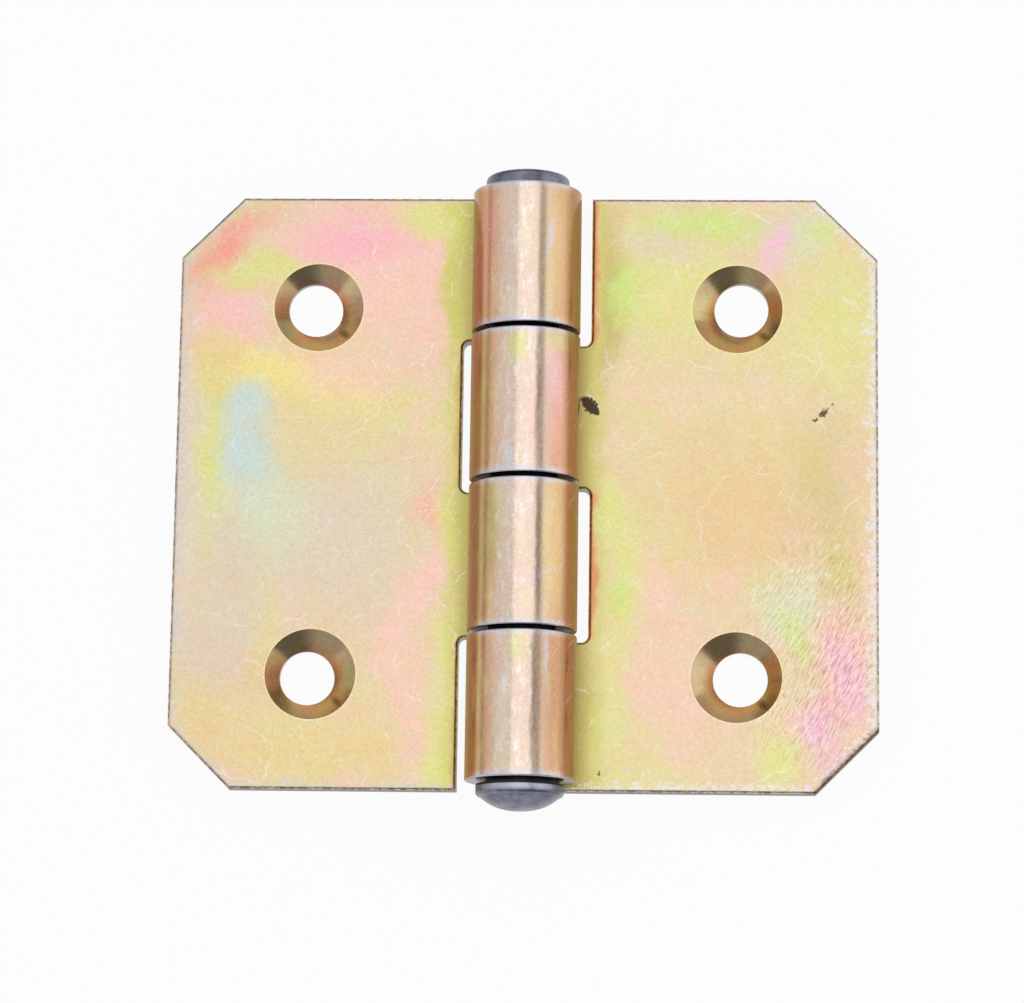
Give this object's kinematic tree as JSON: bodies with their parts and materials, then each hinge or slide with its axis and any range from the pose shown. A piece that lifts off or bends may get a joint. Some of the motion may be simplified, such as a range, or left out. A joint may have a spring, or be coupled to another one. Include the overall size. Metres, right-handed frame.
{
  "type": "chest hinge",
  "caption": "Flat butt hinge for a chest lid: plates with cut corners and countersunk holes, joined by interleaved rolled knuckles on a headed rivet pin.",
  "frame": {"origin": "on the back plane of the open hinge, under the middle of the leaves' length and under the pin's axis", "axes": "+X from the pin to the right leaf's outer edge, +Y along the pin towards its riveted head, +Z out of the countersunk front"},
  "size_m": [0.07, 0.0639, 0.0108],
  "materials": {
    "zinc_yellow": "yellow-passivated zinc plating, iridescent, worn at the edges",
    "steel_grey": "bare grey steel, satin"
  },
  "bodies": {
    "leaf_left": {"leaf_left": "zinc_yellow"},
    "leaf_right": {"leaf_right": "zinc_yellow"},
    "pin": {"pin": "steel_grey"}
  },
  "joints": [
    {"name": "leaf_fold", "type": "hinge", "parent": "leaf_left", "child": "leaf_right", "pos_m": [0, 0, 0.0054], "axis": [0, 1, 0], "range_deg": [-190, 96]},
    {"name": "pin_spin", "type": "hinge", "parent": "leaf_left", "child": "pin", "pos_m": [0, 0, 0.0054], "axis": [0, 1, 0], "continuous": true}
  ]
}
